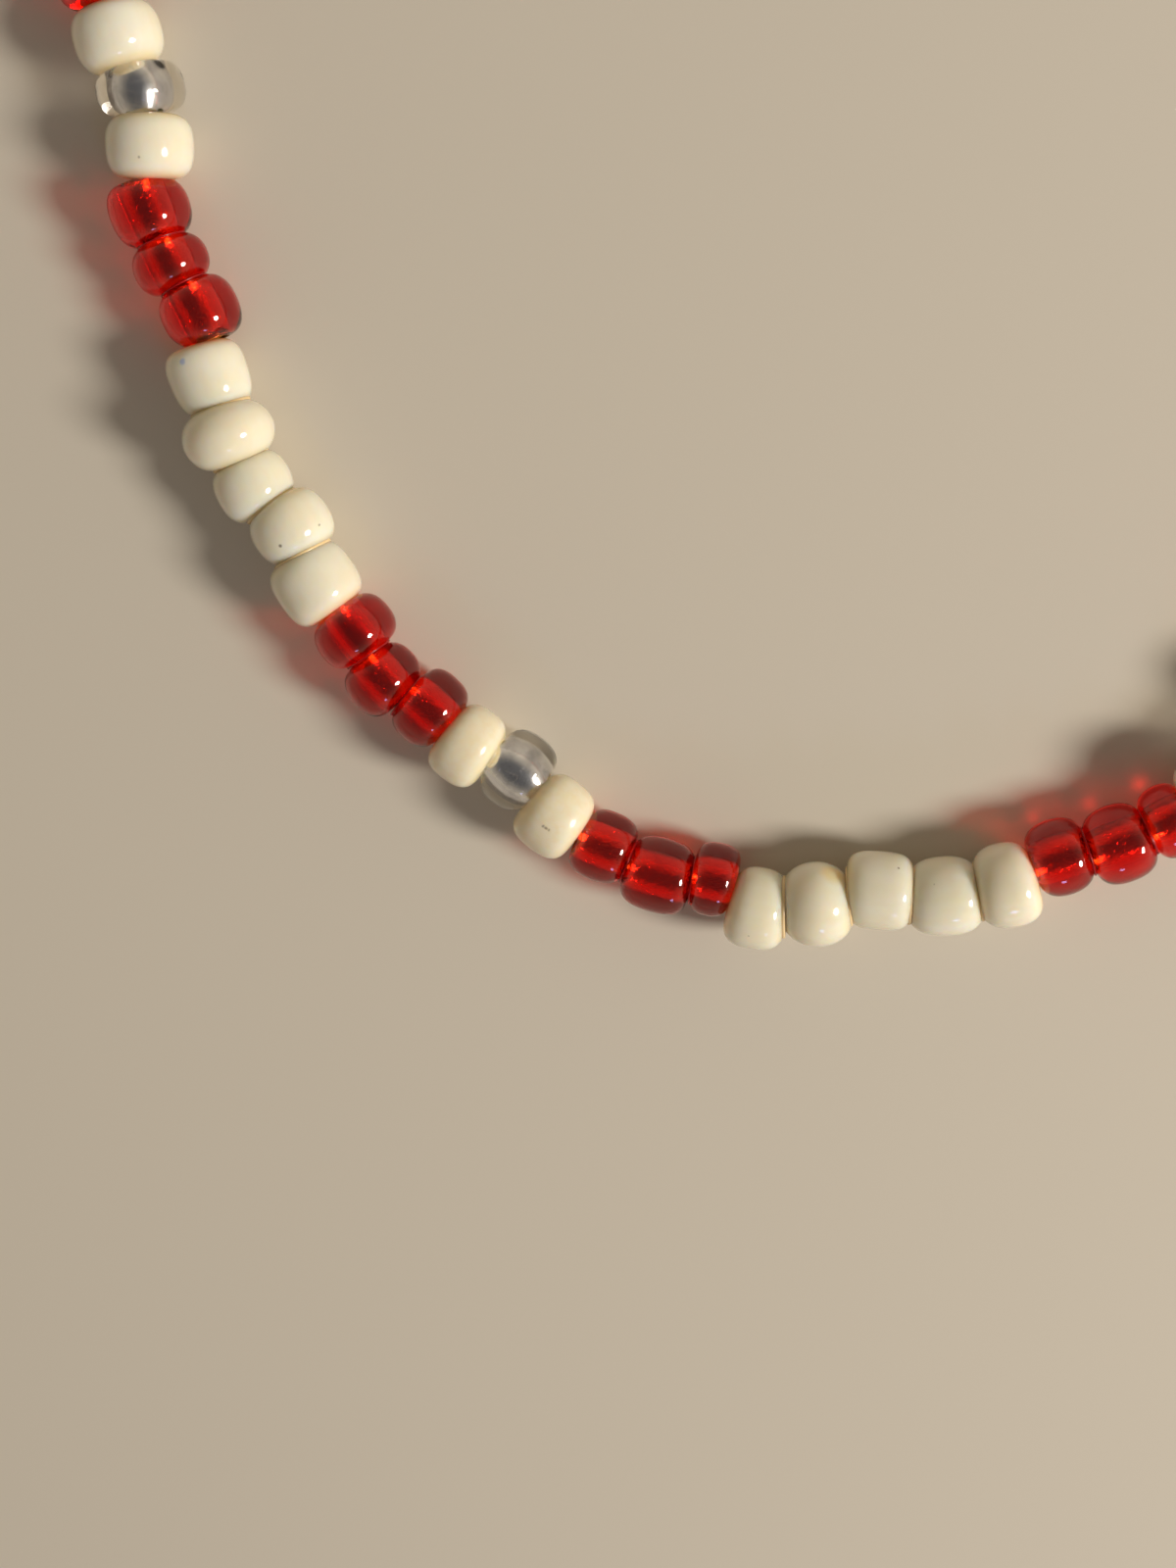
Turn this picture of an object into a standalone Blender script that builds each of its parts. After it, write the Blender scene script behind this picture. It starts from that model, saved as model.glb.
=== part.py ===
"""Beaded choker that lies flat on a surface, with its front towards -Y.

Glass beads in three colours form two strings that meet at the front. One thread runs through
both of them, and a plain barrel clasp closes the loop at the back.
"""

import math
import random
from collections import namedtuple

import bmesh
import bpy
from mathutils import Vector

MM = 0.001
UP = Vector((0, 0, 1))

# Beads: the chart and the hidden beads give their own sizes as shares of these two
BEAD_WIDTH = 4.1 * MM
BEAD_LENGTH = 2.9 * MM
BORE_WIDTH = 1.5 * MM
BEAD_SIDES = 12
BORE_SIDES = 6

# Bead profile: the waist is where two beads meet, the shoulders lie between waist and belly
WAIST_SHARE = 0.74
SHOULDER_SHARE = 0.94
SHOULDER_PLACE = 0.28

# Thread, and the gap that neighbouring pieces keep
THREAD_WIDTH = 0.4 * MM
THREAD_CLEARANCE = 0.3 * MM
PIECE_GAP = 0.3 * MM

# Barrel clasp
CLASP_LENGTH = 12.0 * MM
CLASP_WIDTH = 4.4 * MM
CLASP_END_WIDTH = 2.2 * MM
CLASP_COLLAR_WIDTH = 3.2 * MM
CLASP_COLLAR_LENGTH = 0.4 * MM
CLASP_TAPER_LENGTH = 2.8 * MM
CLASP_HOLE_DEPTH = 2.0 * MM
CLASP_SIDES = 16

# Colours along the string: this repeat, and at last its five ivory beads once more
IVORY, RED, SILVER = "ivory", "red", "silver"
IVORY_RUN = [IVORY] * 5
REPEAT = IVORY_RUN + [RED] * 3 + [IVORY, SILVER, IVORY] + [RED] * 3
REPEAT_COUNT = 8

# The loop seen from above, in millimetres and counter-clockwise. It starts at the front bead,
# goes up the right side, over the clasp at the back and down the left side.
ROUTE = [
    (2.0, -28.8), (10.5, -27.1), (18.6, -22.2), (25.8, -13.5), (31.0, -2.0), (34.6, 11.0),
    (37.8, 27.0), (40.9, 44.0), (42.0, 61.0), (38.5, 78.0), (30.0, 92.5), (16.5, 102.0),
    (0.5, 105.5), (-15.5, 102.0), (-29.0, 92.5), (-37.5, 78.0), (-41.0, 61.0), (-40.0, 44.0),
    (-37.0, 27.5), (-33.9, 12.5), (-31.5, 0.5), (-27.3, -10.2), (-20.2, -19.6), (-11.5, -26.0),
]
ROUTE_STEPS = 60

# The uneven beads of the front left, in their order on the thread. Width, length and drift are
# shares of the bead's width, length and width. Drift is how far the bead sits towards the
# inside of the loop, and lean is its turn in degrees, counter-clockwise from above.
BeadShape = namedtuple("BeadShape", "width length drift lean")
CHART_START = 36
CHART = [
    BeadShape(1.04, 1.01, 0.05, 0),
    BeadShape(1.04, 0.76, 0.15, -4),
    BeadShape(1.03, 1.00, 0.09, -14),
    BeadShape(0.98, 1.00, -0.11, 9),
    BeadShape(0.93, 0.80, -0.03, 9),
    BeadShape(0.97, 1.00, 0.15, 8),
    BeadShape(1.00, 1.10, -0.02, 0),
    BeadShape(1.15, 0.94, -0.04, -3),
    BeadShape(0.96, 0.92, -0.05, 1),
    BeadShape(1.02, 0.97, 0.13, 2),
    BeadShape(1.04, 1.14, 0.01, 0),
    BeadShape(1.02, 0.94, 0.04, -1),
    BeadShape(0.97, 0.98, -0.08, -1),
    BeadShape(1.02, 0.90, 0.10, 3),
    BeadShape(1.04, 0.95, 0.09, 7),
    BeadShape(1.02, 1.00, 0.26, 2),
    BeadShape(1.05, 1.05, 0.06, -7),
    BeadShape(0.91, 0.98, -0.02, 2),
    BeadShape(0.95, 1.18, -0.13, 0),
    BeadShape(0.94, 0.72, -0.01, 1),
    BeadShape(1.03, 0.94, -0.25, 1),
    BeadShape(1.07, 1.10, -0.07, 4),
    BeadShape(0.98, 1.06, 0.17, -2),
    BeadShape(0.97, 1.20, 0.08, -5),
    BeadShape(1.05, 1.02, 0.05, -8),
    BeadShape(0.95, 0.96, 0.15, -2),
    BeadShape(0.97, 1.04, 0.01, -5),
    BeadShape(0.92, 0.80, -0.05, -6),
]

# How much the other beads differ from one another
OTHER_SEED = 14
OTHER_WIDTHS = (0.94, 1.07)
OTHER_LENGTHS = (0.86, 1.14)
OTHER_DRIFTS = (-0.10, 0.10)
OTHER_LEANS = (-6, 6)

# Linear base colour, metallic and roughness
FINISHES = {
    IVORY: ((0.84, 0.76, 0.56), 0.0, 0.15),
    RED: ((0.42, 0.008, 0.006), 0.0, 0.08),
    SILVER: ((0.62, 0.62, 0.63), 0.7, 0.12),
    "thread": ((0.80, 0.77, 0.70), 0.0, 0.6),
    "clasp": ((0.74, 0.73, 0.71), 1.0, 0.25),
}

Bead = namedtuple("Bead", "kind width length drift lean")
PlacedBead = namedtuple("PlacedBead", "kind centre axis radius length")
Station = namedtuple("Station", "centre axis radius")


def clear_scene():
    for obj in list(bpy.data.objects):
        bpy.data.objects.remove(obj, do_unlink=True)


def make_materials():
    materials = {}
    for name, (colour, metallic, roughness) in FINISHES.items():
        material = bpy.data.materials.new(name)
        material.use_nodes = True
        material.diffuse_color = (*colour, 1)
        shader = material.node_tree.nodes["Principled BSDF"]
        shader.inputs["Base Color"].default_value = (*colour, 1)
        shader.inputs["Metallic"].default_value = metallic
        shader.inputs["Roughness"].default_value = roughness
        materials[name] = material
    return materials


def list_beads():
    """Every bead in its order on the thread, from the left of the clasp to the right of it."""
    kinds = REPEAT * REPEAT_COUNT + IVORY_RUN
    chance = random.Random(OTHER_SEED)
    beads = []
    for index, kind in enumerate(kinds):
        row = index - CHART_START
        if 0 <= row < len(CHART):
            shape = CHART[row]
        else:
            shape = BeadShape(
                chance.uniform(*OTHER_WIDTHS),
                chance.uniform(*OTHER_LENGTHS),
                chance.uniform(*OTHER_DRIFTS),
                chance.uniform(*OTHER_LEANS),
            )
        beads.append(
            Bead(
                kind,
                shape.width * BEAD_WIDTH,
                shape.length * BEAD_LENGTH,
                shape.drift * BEAD_WIDTH,
                math.radians(shape.lean),
            )
        )
    return beads


class Route:
    """The closed smooth curve through the route's points, scaled to the length that it needs."""

    def __init__(self, points, length):
        self.points = self.smooth([Vector(point) * MM for point in points])
        scale = length / self.arcs()[-1]
        self.points = [point * scale for point in self.points]
        self.ends = self.arcs()
        self.length = length

    @staticmethod
    def smooth(knots):
        found = []
        for index, knot in enumerate(knots):
            before = knots[index - 1]
            after = knots[(index + 1) % len(knots)]
            beyond = knots[(index + 2) % len(knots)]
            for step in range(ROUTE_STEPS):
                t = step / ROUTE_STEPS
                found.append(
                    (
                        2 * knot
                        + (after - before) * t
                        + (2 * before - 5 * knot + 4 * after - beyond) * t**2
                        + (3 * knot - before - 3 * after + beyond) * t**3
                    )
                    / 2
                )
        return found

    def arcs(self):
        """Arc length at each point, and at last the whole length."""
        arcs = [0.0]
        for index, point in enumerate(self.points):
            after = self.points[(index + 1) % len(self.points)]
            arcs.append(arcs[-1] + (after - point).length)
        return arcs

    def at(self, arc):
        """The place and the direction of travel at an arc length from the front."""
        arc %= self.length
        index = next(i for i, end in enumerate(self.ends[1:]) if arc <= end)
        start = self.points[index]
        step = self.points[(index + 1) % len(self.points)] - start
        share = (arc - self.ends[index]) / step.length
        place = start + step * share
        return place.to_3d(), step.normalized().to_3d()


def place_beads(beads):
    """Sets each bead on the route and on the surface, the front one at the route's start."""
    needed = sum(bead.length for bead in beads) + CLASP_LENGTH + 2 * PIECE_GAP
    route = Route(ROUTE, needed)
    arcs = [0.0]
    for before, after in zip(beads, beads[1:]):
        arcs.append(arcs[-1] + (before.length + after.length) / 2)
    front_arc = arcs[len(beads) // 2]
    placed = []
    for bead, arc in zip(beads, arcs):
        place, direction = route.at(arc - front_arc)
        inward = UP.cross(direction)
        axis = direction * math.cos(bead.lean) + inward * math.sin(bead.lean)
        radius = bead.width / 2
        centre = place + inward * bead.drift + UP * radius
        placed.append(PlacedBead(bead.kind, centre, axis, radius, bead.length))
    return placed


def bead_start(bead):
    return bead.centre - bead.axis * bead.length / 2


def bead_end(bead):
    return bead.centre + bead.axis * bead.length / 2


def joint_between(before, after):
    """The waist between two beads, halfway between their facing ends."""
    centre = (bead_end(before) + bead_start(after)) / 2
    axis = (before.axis + after.axis).normalized()
    return Station(centre, axis, WAIST_SHARE * min(before.radius, after.radius))


def add_ring(bm, station, sides):
    """A polygon round a station whose flats touch the station's circle, one of them facing down."""
    side = UP.cross(station.axis)
    corner = station.radius / math.cos(math.pi / sides)
    ring = []
    for index in range(sides):
        angle = 2 * math.pi * (index + 0.5) / sides - math.pi / 2
        offset = side * math.cos(angle) + UP * math.sin(angle)
        ring.append(bm.verts.new(station.centre + offset * corner))
    return ring


def add_skin(bm, first, second, material_index=0):
    for index in range(len(first)):
        following = (index + 1) % len(first)
        corners = (first[index], first[following], second[following], second[index])
        bm.faces.new(corners).material_index = material_index


def close_end(bm, outer, inner):
    """The flat face round the bore at an end of the string."""
    edges = []
    for ring in (outer, inner):
        for index in range(len(ring)):
            edges.append(bm.edges.get((ring[index - 1], ring[index])))
    bmesh.ops.triangle_fill(bm, edges=edges, use_beauty=True)


def finish_mesh(bm, name, materials):
    bmesh.ops.recalc_face_normals(bm, faces=bm.faces)
    mesh = bpy.data.meshes.new(name)
    bm.to_mesh(mesh)
    bm.free()
    for material in materials:
        mesh.materials.append(material)
    mesh.shade_smooth()
    mesh.set_sharp_from_angle(angle=math.radians(50))
    obj = bpy.data.objects.new(name, mesh)
    bpy.context.scene.collection.objects.link(obj)
    return obj


def make_string(name, beads, waists, materials):
    """One drilled string: waists[i] and waists[i + 1] are the two ends of beads[i]."""
    kinds = [IVORY, RED, SILVER]
    bm = bmesh.new()
    skin = add_ring(bm, waists[0], BEAD_SIDES)
    bore = add_ring(bm, waists[0]._replace(radius=BORE_WIDTH / 2), BORE_SIDES)
    first_skin, first_bore = skin, bore
    for bead, waist in zip(beads, waists[1:]):
        colour = kinds.index(bead.kind)
        reach = bead.axis * bead.length * SHOULDER_PLACE
        shoulder = SHOULDER_SHARE * bead.radius
        stations = [
            Station(bead.centre - reach, bead.axis, shoulder),
            Station(bead.centre, bead.axis, bead.radius),
            Station(bead.centre + reach, bead.axis, shoulder),
            waist,
        ]
        for station in stations:
            following = add_ring(bm, station, BEAD_SIDES)
            add_skin(bm, skin, following, colour)
            skin = following
        following = add_ring(bm, waist._replace(radius=BORE_WIDTH / 2), BORE_SIDES)
        add_skin(bm, bore, following, colour)
        bore = following
    close_end(bm, first_skin, first_bore)
    close_end(bm, skin, bore)
    return finish_mesh(bm, name, [materials[kind] for kind in kinds])


def make_clasp(start, end, material):
    """A turned barrel between the two ends of the beads, with a hole in each end for the thread."""
    half = CLASP_LENGTH / 2
    hole = THREAD_WIDTH / 2 + THREAD_CLEARANCE
    right_half = [
        (half - CLASP_TAPER_LENGTH, CLASP_WIDTH / 2),
        (half - CLASP_COLLAR_LENGTH, CLASP_COLLAR_WIDTH / 2),
        (half, CLASP_END_WIDTH / 2),
        (half, hole),
        (half - CLASP_HOLE_DEPTH, hole),
    ]
    left_half = [(-place, radius) for place, radius in reversed(right_half)]
    bm = bmesh.new()
    axis = Vector((1, 0, 0))
    rings = []
    for place, radius in left_half + right_half:
        rings.append(add_ring(bm, Station(axis * place, axis, radius), CLASP_SIDES))
    for first, second in zip(rings, rings[1:]):
        add_skin(bm, first, second)
    bm.faces.new(rings[0])
    bm.faces.new(rings[-1])
    clasp = finish_mesh(bm, "clasp", [material])
    across = end - start
    clasp.location = ((start + end) / 2).to_2d().to_3d() + UP * CLASP_WIDTH / 2
    clasp.rotation_euler.z = math.atan2(across.y, across.x)
    return clasp


def make_thread(places, material):
    curve = bpy.data.curves.new("thread", "CURVE")
    curve.dimensions = "3D"
    curve.bevel_depth = THREAD_WIDTH / 2
    curve.bevel_resolution = 1
    curve.use_fill_caps = True
    curve.materials.append(material)
    spline = curve.splines.new("POLY")
    spline.points.add(len(places) - 1)
    for point, place in zip(spline.points, places):
        point.co = (*place, 1)
    thread = bpy.data.objects.new("thread", curve)
    bpy.context.scene.collection.objects.link(thread)
    return thread


def hole_point(clasp, side):
    """Where the thread ends in the clasp's hole on one side, -1 or 1, short of its bottom."""
    reach = CLASP_LENGTH / 2 - CLASP_HOLE_DEPTH + PIECE_GAP
    heading = clasp.rotation_euler.z
    return clasp.location + Vector((math.cos(heading), math.sin(heading), 0)) * reach * side


def put_on_origin(objects):
    """Hangs the objects from one empty, so that the middle of their box is over the origin."""
    bpy.context.view_layer.update()
    corners = [obj.matrix_world @ Vector(corner) for obj in objects for corner in obj.bound_box]
    root = bpy.data.objects.new("choker", None)
    bpy.context.scene.collection.objects.link(root)
    for obj in objects:
        obj.parent = root
    for axis in (0, 1):
        places = [corner[axis] for corner in corners]
        root.location[axis] = -(min(places) + max(places)) / 2


def main():
    clear_scene()
    materials = make_materials()
    beads = place_beads(list_beads())
    inner_waists = [joint_between(before, after) for before, after in zip(beads, beads[1:])]
    first, last = beads[0], beads[-1]
    first_waist = Station(bead_start(first), first.axis, WAIST_SHARE * first.radius)
    last_waist = Station(bead_end(last), last.axis, WAIST_SHARE * last.radius)

    front = len(beads) // 2
    meeting = inner_waists[front]
    half_gap = meeting.axis * PIECE_GAP / 2
    left_end = meeting._replace(centre=meeting.centre - half_gap)
    right_start = meeting._replace(centre=meeting.centre + half_gap)
    left_waists = [first_waist, *inner_waists[:front], left_end]
    right_waists = [right_start, *inner_waists[front + 1 :], last_waist]

    left = make_string("bead_string_left", beads[: front + 1], left_waists, materials)
    right = make_string("bead_string_right", beads[front + 1 :], right_waists, materials)
    clasp = make_clasp(last_waist.centre, first_waist.centre, materials["clasp"])
    waist_places = [waist.centre for waist in left_waists + right_waists]
    thread_places = [hole_point(clasp, 1), *waist_places, hole_point(clasp, -1)]
    thread = make_thread(thread_places, materials["thread"])
    put_on_origin([left, right, clasp, thread])


main()
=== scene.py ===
import math
import random

import bpy
import numpy as np
from mathutils import Matrix, Vector
from mathutils.bvhtree import BVHTree


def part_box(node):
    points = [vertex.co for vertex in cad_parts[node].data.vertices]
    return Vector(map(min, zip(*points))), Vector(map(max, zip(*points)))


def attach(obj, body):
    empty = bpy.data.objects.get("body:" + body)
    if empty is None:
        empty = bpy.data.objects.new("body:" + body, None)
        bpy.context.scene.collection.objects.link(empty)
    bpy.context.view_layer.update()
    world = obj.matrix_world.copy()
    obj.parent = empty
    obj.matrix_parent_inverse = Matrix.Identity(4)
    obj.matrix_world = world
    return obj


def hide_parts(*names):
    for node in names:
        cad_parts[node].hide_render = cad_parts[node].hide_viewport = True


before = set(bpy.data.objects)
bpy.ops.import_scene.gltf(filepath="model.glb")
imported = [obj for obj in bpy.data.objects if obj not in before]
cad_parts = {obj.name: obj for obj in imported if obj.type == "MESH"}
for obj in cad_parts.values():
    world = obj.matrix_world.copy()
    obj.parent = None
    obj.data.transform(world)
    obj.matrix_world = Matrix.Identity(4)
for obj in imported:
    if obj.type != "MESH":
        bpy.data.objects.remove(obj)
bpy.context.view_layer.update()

mm = 0.001
up = Vector((0, 0, 1))
print("frame loaded")


# Shader maths: a wire is one socket, and plain arithmetic on wires adds the Math nodes

class Wire:
    def __init__(self, maker, socket):
        self.maker = maker
        self.socket = socket

    def maths(self, operation, first, second=0.0):
        return self.maker.node("ShaderNodeMath", {"operation": operation}, {0: first, 1: second})

    def __add__(self, other):
        return self.maths("ADD", self, other)

    def __sub__(self, other):
        return self.maths("SUBTRACT", self, other)

    def __rsub__(self, other):
        return self.maths("SUBTRACT", other, self)

    def __mul__(self, other):
        return self.maths("MULTIPLY", self, other)

    def __gt__(self, other):
        return self.maths("GREATER_THAN", self, other)

    def __abs__(self):
        return self.maths("ABSOLUTE", self)

    __radd__ = __add__
    __rmul__ = __mul__


class NodeMaker:
    def __init__(self, tree):
        self.tree = tree

    def plug(self, node, name, value):
        if isinstance(value, Wire):
            self.tree.links.new(value.socket, node.inputs[name])
        else:
            node.inputs[name].default_value = value

    def node(self, kind, settings=None, sockets=None, output=0):
        # the settings are set first, and "stops" are the places and colours of a ramp
        made = self.tree.nodes.new(kind)
        for name, value in (settings or {}).items():
            if name == "stops":
                for stop, (place, colour) in zip(made.color_ramp.elements, value):
                    stop.position = place
                    stop.color = (*colour, 1)
            else:
                setattr(made, name, value)
        for name, value in (sockets or {}).items():
            self.plug(made, name, value)
        return Wire(self, made.outputs[output])


class Finish(NodeMaker):
    def __init__(self, name):
        self.material = bpy.data.materials.new(name)
        self.material.use_nodes = True
        super().__init__(self.material.node_tree)
        self.shader = self.tree.nodes["Principled BSDF"]
        self.outlet = self.tree.nodes["Material Output"]

    def set(self, sockets):
        for name, value in sockets.items():
            self.plug(self.shader, name, value)

    def places(self):
        return self.node("ShaderNodeTexCoord", output="Object")

    def value(self, name):
        return self.node("ShaderNodeAttribute", {"attribute_name": name}, output="Fac")

    def noise(self, vector, scale, detail=2.0, output=0):
        sockets = {"Vector": vector, "Scale": scale, "Detail": detail}
        return self.node("ShaderNodeTexNoise", sockets=sockets, output=output)

    def ramp(self, factor, low, high):
        # 0 below low, 1 above high and smooth between them
        sockets = {"Value": factor, "From Min": low, "From Max": high}
        return self.node("ShaderNodeMapRange", {"interpolation_type": "SMOOTHSTEP"}, sockets)

    def vector(self, operation, sockets, output=0):
        return self.node("ShaderNodeVectorMath", {"operation": operation}, sockets, output)

    def mix(self, factor, first, second):
        # the colours are wires, or red, green and blue
        first, second = (value if isinstance(value, Wire) else (*value, 1) for value in (first, second))
        return self.node("ShaderNodeMix", {"data_type": "RGBA"}, {0: factor, 6: first, 7: second}, 2)

    def bump(self, height, distance, strength=0.6):
        sockets = {"Height": height, "Strength": strength, "Distance": distance}
        return self.node("ShaderNodeBump", sockets=sockets)


# The strand: colours, usual sizes and the route, as the solids have them

strand = {
    "beadWidth": 4.1 * mm,
    "beadLength": 2.9 * mm,
    "boreWidth": 1.5 * mm,
    "threadWidth": 0.4 * mm,
    "pieceGap": 0.3 * mm,
    "claspLength": 12.0 * mm,
    "claspWidth": 4.4 * mm,
    "claspHoleDepth": 2.0 * mm,
    "repeat": ["ivory"] * 5 + ["red"] * 3 + ["ivory", "silver", "ivory"] + ["red"] * 3,
    "repeatCount": 8,
    "lastRun": ["ivory"] * 5,
    "routeSteps": 60,
}

# the loop from above in millimetres, counter-clockwise from the front bead
routePoints = [
    (2.0, -28.8), (10.5, -27.1), (18.6, -22.2), (25.8, -13.5), (31.0, -2.0), (34.6, 11.0),
    (37.8, 27.0), (40.9, 44.0), (42.0, 61.0), (38.5, 78.0), (30.0, 92.5), (16.5, 102.0),
    (0.5, 105.5), (-15.5, 102.0), (-29.0, 92.5), (-37.5, 78.0), (-41.0, 61.0), (-40.0, 44.0),
    (-37.0, 27.5), (-33.9, 12.5), (-31.5, 0.5), (-27.3, -10.2), (-20.2, -19.6), (-11.5, -26.0),
]

# the beads of the front left, in their order on the thread: width, length, drift to the inside
# and lean as the solids have them, then how square the bead is, how much it narrows and its tone
chartStart = 36
chartColumns = ("width", "length", "drift", "lean", "square", "taper", "tone")
chart = [
    (1.04, 1.01, 0.05, 0, 2.8, 0.00, 0.30),
    (1.04, 0.76, 0.15, -4, 2.9, 0.00, 0.50),
    (1.03, 1.00, 0.09, -14, 3.0, 0.00, 0.25),
    (0.98, 1.00, -0.11, 9, 2.6, 0.02, 0.50),
    (0.93, 0.80, -0.03, 9, 2.5, 0.00, 0.50),
    (0.97, 1.00, 0.15, 8, 2.6, 0.03, 0.50),
    (1.00, 1.10, -0.02, 0, 3.1, 0.08, 0.35),
    (1.15, 0.94, -0.04, -3, 2.2, 0.00, 0.20),
    (0.96, 0.92, -0.05, 1, 2.7, 0.00, 0.45),
    (1.02, 0.97, 0.13, 2, 2.6, 0.00, 0.30),
    (1.04, 1.14, 0.01, 0, 3.2, 0.00, 0.25),
    (1.02, 0.94, 0.04, -1, 2.7, -0.04, 0.50),
    (0.97, 0.98, -0.08, -1, 2.6, 0.00, 0.50),
    (1.02, 0.90, 0.10, 3, 2.9, 0.03, 0.50),
    (1.04, 0.95, 0.09, 7, 3.1, 0.00, 0.80),
    (1.02, 1.00, 0.26, 2, 2.7, 0.00, 0.50),
    (1.05, 1.05, 0.06, -7, 3.0, 0.03, 0.86),
    (0.91, 0.98, -0.02, 2, 2.8, 0.00, 0.50),
    (0.95, 1.18, -0.13, 0, 3.0, 0.00, 0.50),
    (0.94, 0.72, -0.01, 1, 3.0, 0.00, 0.50),
    (1.03, 0.94, -0.25, 1, 2.9, 0.00, 0.15),
    (1.07, 1.10, -0.07, 4, 2.1, 0.00, 0.66),
    (0.98, 1.06, 0.17, -2, 3.5, 0.00, 0.20),
    (0.97, 1.20, 0.08, -5, 2.7, -0.03, 0.30),
    (1.05, 1.02, 0.05, -8, 2.7, 0.00, 0.40),
    (0.95, 0.96, 0.15, -2, 2.7, 0.00, 0.50),
    (0.97, 1.04, 0.01, -5, 2.7, 0.00, 0.50),
    (0.92, 0.80, -0.05, -6, 2.7, 0.00, 0.50),
]

# how much the other beads differ from one another
otherBeads = {
    "seed": 14,
    "width": (0.94, 1.07),
    "length": (0.86, 1.14),
    "drift": (-0.10, 0.10),
    "lean": (-6, 6),
    "square": (2.4, 3.4),
    "taper": (-0.05, 0.05),
    "tone": (0.0, 0.85),
}


def listBeads():
    kinds = strand["repeat"] * strand["repeatCount"] + strand["lastRun"]
    chance = random.Random(otherBeads["seed"])
    shapes = random.Random(otherBeads["seed"] + 1)
    beads = []
    for index, kind in enumerate(kinds):
        row = index - chartStart
        if 0 <= row < len(chart):
            bead = dict(zip(chartColumns, chart[row]))
        else:
            bead = {name: chance.uniform(*otherBeads[name]) for name in chartColumns[:4]}
            bead.update({name: shapes.uniform(*otherBeads[name]) for name in chartColumns[4:]})
        bead["kind"] = kind
        bead["index"] = index
        bead["radius"] = bead["width"] * strand["beadWidth"] / 2
        bead["length"] *= strand["beadLength"]
        bead["drift"] *= strand["beadWidth"]
        bead["lean"] = math.radians(bead["lean"])
        beads.append(bead)
    return beads


def smoothRoute(knots):
    # a smooth closed curve through all the knots
    found = []
    for index, knot in enumerate(knots):
        before = knots[index - 1]
        after = knots[(index + 1) % len(knots)]
        beyond = knots[(index + 2) % len(knots)]
        square = 2 * before - 5 * knot + 4 * after - beyond
        cube = 3 * knot - before - 3 * after + beyond
        for step in range(strand["routeSteps"]):
            t = step / strand["routeSteps"]
            found.append((2 * knot + (after - before) * t + square * t**2 + cube * t**3) / 2)
    return found


def routeArcs(points):
    arcs = [0.0]
    for index, point in enumerate(points):
        arcs.append(arcs[-1] + (points[(index + 1) % len(points)] - point).length)
    return arcs


def placeBeads(beads):
    needed = sum(bead["length"] for bead in beads) + strand["claspLength"] + 2 * strand["pieceGap"]
    points = smoothRoute([Vector(point) * mm for point in routePoints])
    scale = needed / routeArcs(points)[-1]
    points = [point * scale for point in points]
    ends = routeArcs(points)
    arc = 0.0
    for before, bead in zip([None, *beads], beads):
        if before:
            arc += (before["length"] + bead["length"]) / 2
        bead["arc"] = arc
    frontArc = beads[len(beads) // 2]["arc"]
    for bead in beads:
        arc = (bead["arc"] - frontArc) % needed
        index = next(i for i, end in enumerate(ends[1:]) if arc <= end)
        step = points[(index + 1) % len(points)] - points[index]
        place = (points[index] + step * ((arc - ends[index]) / step.length)).to_3d()
        direction = step.normalized().to_3d()
        inward = up.cross(direction)
        bead["axis"] = direction * math.cos(bead["lean"]) + inward * math.sin(bead["lean"])
        bead["side"] = up.cross(bead["axis"])
        bead["centre"] = place + inward * bead["drift"] + up * bead["radius"]


def beadEnd(bead, sign):
    return bead["centre"] + bead["axis"] * (sign * bead["length"] / 2)


def moveToFrame(beads):
    # the clasp lies between the two ends of the beads, so its box says where the route goes
    low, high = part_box("clasp")
    middle = (beadEnd(beads[0], -1) + beadEnd(beads[-1], 1)) / 2
    shift = ((low + high) / 2 - middle).to_2d().to_3d()
    for bead in beads:
        bead["centre"] += shift
    return shift


def findJoints(beads):
    # each joint has a place and a direction, between the beads' axes and the line of their centres
    joints = []
    for before, after in zip(beads, beads[1:]):
        place = (beadEnd(before, 1) + beadEnd(after, -1)) / 2
        line = (after["centre"] - before["centre"]).to_2d().to_3d().normalized()
        mean = (before["axis"] + after["axis"]).normalized()
        joints.append((place, (line + mean).normalized()))
    first, last = beads[0], beads[-1]
    return [(beadEnd(first, -1), first["axis"]), *joints, (beadEnd(last, 1), last["axis"])]


beads = listBeads()
placeBeads(beads)
routeShift = moveToFrame(beads)
joints = findJoints(beads)  # one before each bead, and one after the last
print("strand laid out,", len(beads), "beads")


# Camera

cameraPlan = {
    "picture": (1200, 1600),
    "focalLength": 42.75,
    "sensor": 36.0,
    "near": 0.005,
    "far": 50,
    "height": 93.24 * mm,
    "right": (0.99099, -0.03227, -0.12997),
    "up": (0.0, 0.97054, -0.24095),
    "back": (0.13392, 0.23878, 0.96180),
}


def addObject(name, data):
    made = bpy.data.objects.new(name, data)
    bpy.context.scene.collection.objects.link(made)
    return made


def makeCamera(shift):
    data = bpy.data.cameras.new("photoCamera")
    data.lens = cameraPlan["focalLength"]
    data.sensor_width = cameraPlan["sensor"]
    data.clip_start = cameraPlan["near"]
    data.clip_end = cameraPlan["far"]
    camera = addObject("photoCamera", data)
    turn = Matrix([cameraPlan["right"], cameraPlan["up"], cameraPlan["back"]]).transposed()
    camera.rotation_euler = turn.to_euler()
    camera.location = (shift.x, shift.y, cameraPlan["height"])
    bpy.context.scene.camera = camera


makeCamera(routeShift)
print("camera set")


# Lights: a warm key lamp and a weak cool one, both aimed at the front of the strand

lampTarget = Vector((-0.012, -0.06, 0))

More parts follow.
